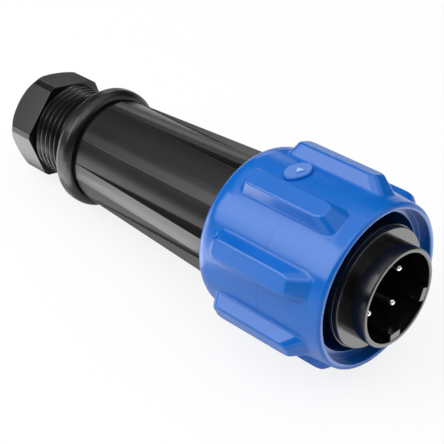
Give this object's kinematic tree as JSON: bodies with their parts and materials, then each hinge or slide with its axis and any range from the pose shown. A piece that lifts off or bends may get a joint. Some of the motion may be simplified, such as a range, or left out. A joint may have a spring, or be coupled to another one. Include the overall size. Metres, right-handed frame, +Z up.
{
  "type": "circular cable connector",
  "caption": "In-line circular cable plug with domed pins in a keyed round nose, a ribbed twist-lock coupling ring, a fluted grip body and a hexagon gland screw for the cable.",
  "frame": {"origin": "on the table under the middle of the plug as it lies", "axes": "+Z up from the table, +X along the plug towards the pins (the axis rises 6.2 degrees), +Y to the plug's left seen from the cable end"},
  "size_m": [0.1056, 0.0392, 0.0408],
  "materials": {
    "grip_plastic": "satin moulded black",
    "ring_plastic": "satin moulded blue",
    "shell_plastic": "glossy moulded black",
    "gland_plastic": "satin moulded black",
    "insulator_plastic": "matt moulded black",
    "rubber": "soft black rubber",
    "contact_metal": "bright silver plate on brass",
    "plated_metal": "zinc plated steel",
    "spring_steel": "bright spring steel",
    "washer_steel": "plain steel"
  },
  "bodies": {
    "plug": {"grip_body": "grip_plastic", "front_shell": "shell_plastic", "face_seal": "rubber", "shell_o_ring": "rubber", "front_insulator": "insulator_plastic", "rear_insulator": "insulator_plastic", "insulator_screw": "plated_metal", "contact_pin_1": "contact_metal", "contact_pin_2": "contact_metal", "contact_pin_3": "contact_metal", "contact_pin_4": "contact_metal", "terminal_screws": "plated_metal", "carrier_nut": "insulator_plastic", "spring_washer": "spring_steel", "ring_clip": "spring_steel", "gland_seal": "rubber", "seat_washer": "washer_steel"},
    "ring": {"coupling_ring": "ring_plastic"},
    "thrust": {"thrust_washer": "washer_steel"},
    "gland": {"gland_screw": "gland_plastic"}
  },
  "joints": [
    {"name": "ring_turn", "type": "hinge", "parent": "plug", "child": "ring", "pos_m": [0.02061, 0, 0.01928], "axis": [0.9941, 0, 0.1084], "range_deg": [0, 30]},
    {"name": "gland_travel", "type": "slide", "parent": "plug", "child": "thrust", "axis": [0.9941, 0, 0.1084], "range_m": [-0.0031, 0.0046]},
    {"name": "gland_turn", "type": "hinge", "parent": "thrust", "child": "gland", "pos_m": [-0.03953, 0, 0.01273], "axis": [0.9941, 0, 0.1084], "range_deg": [-720, 1080]}
  ],
  "couplings": [
    {"joint": "gland_travel", "follows": "gland_turn", "m_per_rad": 0.00023873}
  ]
}
